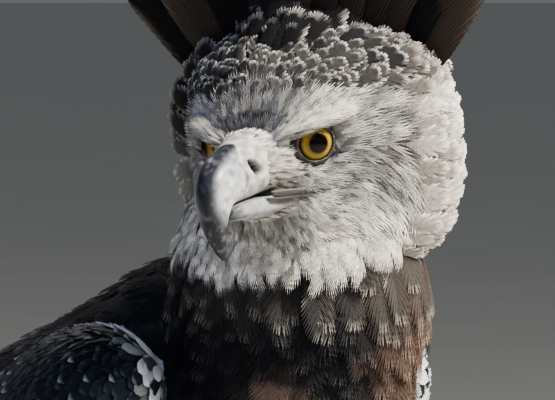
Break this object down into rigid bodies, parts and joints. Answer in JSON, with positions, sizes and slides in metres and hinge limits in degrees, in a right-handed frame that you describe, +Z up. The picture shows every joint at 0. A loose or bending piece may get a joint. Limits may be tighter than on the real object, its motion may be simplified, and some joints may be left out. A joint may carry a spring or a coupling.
{
  "type": "harpy eagle",
  "caption": "Life-size still model of a standing adult harpy eagle, wings folded, crest raised, head turned over its right shoulder.",
  "frame": {"origin": "on the ground under the middle of the bird's bounding box", "axes": "+X to the bird's left, -Y ahead of its body, +Z up; the head looks towards -X"},
  "size_m": [0.2744, 0.7852, 0.8293],
  "materials": {
    "head_plumage": "pale grey feathers, fine and soft on the face, scalloped on the crown",
    "bill_horn": "smooth slate horn, paler grey soft base",
    "eye": "wet amber iris with a black pupil",
    "body_plumage": "black feathers on the breast band and back, white below",
    "tail_plumage": "black tail feathers with grey bars",
    "wing_plumage": "slate black feathers with pale edges",
    "thigh_plumage": "white feathers finely barred with black",
    "leg_skin": "yellow scaly skin with broad plates in front",
    "claw_horn": "black glossy horn"
  },
  "bodies": {
    "root": {"head": "head_plumage", "bill_upper": "bill_horn", "bill_lower": "bill_horn", "eye_left": "eye", "eye_right": "eye", "neck": "body_plumage", "torso": "body_plumage", "tail": "tail_plumage", "wing_left": "wing_plumage", "wing_right": "wing_plumage", "thigh_left": "thigh_plumage", "thigh_right": "thigh_plumage", "tarsus_left": "leg_skin", "tarsus_right": "leg_skin", "foot_left": "leg_skin", "foot_right": "leg_skin", "claw_hind_left": "claw_horn", "claw_inner_left": "claw_horn", "claw_middle_left": "claw_horn", "claw_outer_left": "claw_horn", "claw_hind_right": "claw_horn", "claw_inner_right": "claw_horn", "claw_middle_right": "claw_horn", "claw_outer_right": "claw_horn"}
  },
  "joints": []
}
